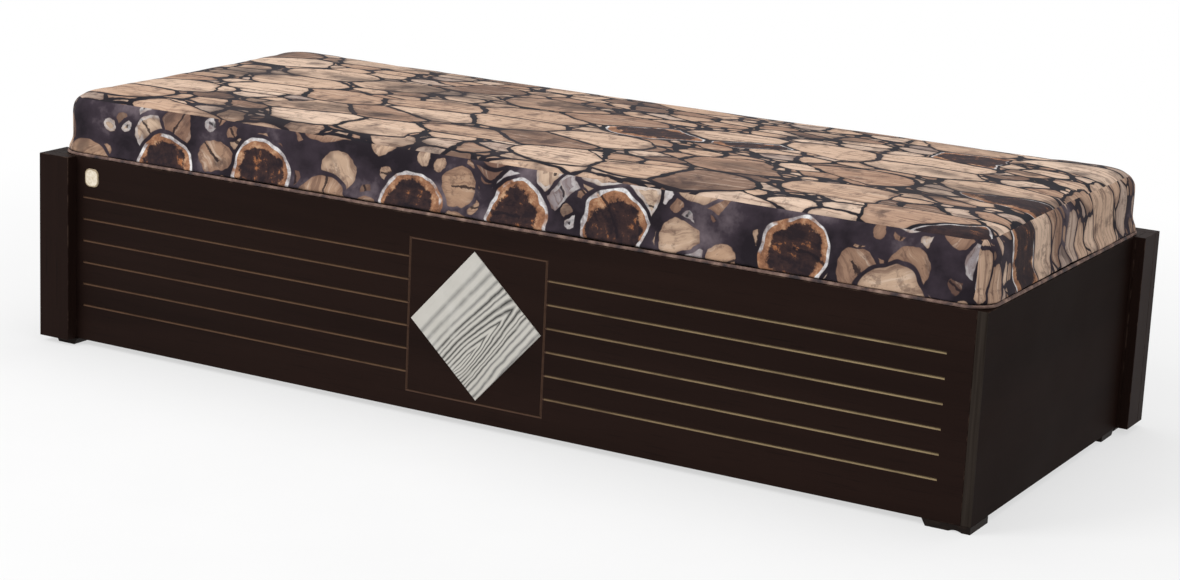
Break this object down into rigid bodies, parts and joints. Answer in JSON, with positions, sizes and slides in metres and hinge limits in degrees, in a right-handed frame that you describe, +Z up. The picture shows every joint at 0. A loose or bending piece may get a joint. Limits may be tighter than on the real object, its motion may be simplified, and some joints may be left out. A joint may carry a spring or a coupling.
{
  "type": "divan bed",
  "caption": "Dark boxed divan bed with a grooved front, a pale diamond inlay and a printed mattress; its front half pulls forward on meshing slats to make a double.",
  "frame": {"origin": "on the floor under the middle of the bed", "axes": "+X along the bed from the left end to the right end as seen from the front, +Y to the back, +Z up"},
  "size_m": [1.949, 0.812, 0.4993],
  "materials": {
    "dark_laminate": "satin dark brown wood-grain laminate",
    "inlay_laminate": "satin pale silver-grey wood grain",
    "badge_metal": "satin pale champagne",
    "slat_wood": "planed pale softwood",
    "frame_timber": "sawn softwood",
    "foot_plastic": "moulded black",
    "staple_steel": "galvanised wire",
    "cam_zinc": "die-cast zinc",
    "buffer_rubber": "matte black",
    "mattress_fabric": "printed woven cotton, pebbles in tan and brown on near-black"
  },
  "bodies": {
    "fixed_box": {"back_panel": "dark_laminate", "fixed_bearer": "frame_timber", "fixed_board_glides": "foot_plastic", "fixed_cam_bolts": "cam_zinc", "fixed_cam_locks": "cam_zinc", "fixed_centre_leg": "frame_timber", "fixed_cleat": "frame_timber", "fixed_corner_batten": "frame_timber", "fixed_corner_foot": "foot_plastic", "fixed_end_panel": "dark_laminate", "fixed_inner_panel": "dark_laminate", "fixed_post_core": "dark_laminate", "fixed_post_face": "dark_laminate", "fixed_post_glide": "foot_plastic", "fixed_post_return": "dark_laminate", "fixed_runner": "frame_timber", "fixed_slat_01": "slat_wood", "fixed_slat_02": "slat_wood", "fixed_slat_03": "slat_wood", "fixed_slat_04": "slat_wood", "fixed_slat_05": "slat_wood", "fixed_slat_06": "slat_wood", "fixed_slat_07": "slat_wood", "fixed_slat_08": "slat_wood", "fixed_slat_09": "slat_wood", "fixed_slat_10": "slat_wood", "fixed_slat_staples": "staple_steel", "stop_buffers": "buffer_rubber"},
    "sliding_box": {"badge": "badge_metal", "diamond_inlay": "inlay_laminate", "front_panel": "dark_laminate", "sliding_bearer": "frame_timber", "sliding_board_glides": "foot_plastic", "sliding_cam_bolts": "cam_zinc", "sliding_cam_locks": "cam_zinc", "sliding_centre_leg": "frame_timber", "sliding_cleat": "frame_timber", "sliding_corner_batten": "frame_timber", "sliding_corner_foot": "foot_plastic", "sliding_end_panel": "dark_laminate", "sliding_inner_panel": "dark_laminate", "sliding_post_core": "dark_laminate", "sliding_post_face": "dark_laminate", "sliding_post_glide": "foot_plastic", "sliding_post_return": "dark_laminate", "sliding_runner": "frame_timber", "sliding_slat_01": "slat_wood", "sliding_slat_02": "slat_wood", "sliding_slat_03": "slat_wood", "sliding_slat_04": "slat_wood", "sliding_slat_05": "slat_wood", "sliding_slat_06": "slat_wood", "sliding_slat_07": "slat_wood", "sliding_slat_08": "slat_wood", "sliding_slat_09": "slat_wood", "sliding_slat_10": "slat_wood", "sliding_slat_staples": "staple_steel"},
    "mattress": {"mattress": "mattress_fabric"}
  },
  "joints": [
    {"name": "front_pull_out", "type": "slide", "parent": "fixed_box", "child": "sliding_box", "axis": [0, -1, 0], "range_m": [0, 0.59]},
    {"name": "mattress_lift", "type": "slide", "parent": "fixed_box", "child": "mattress", "axis": [0, 0, 1], "range_m": [0, 0.4]}
  ]
}
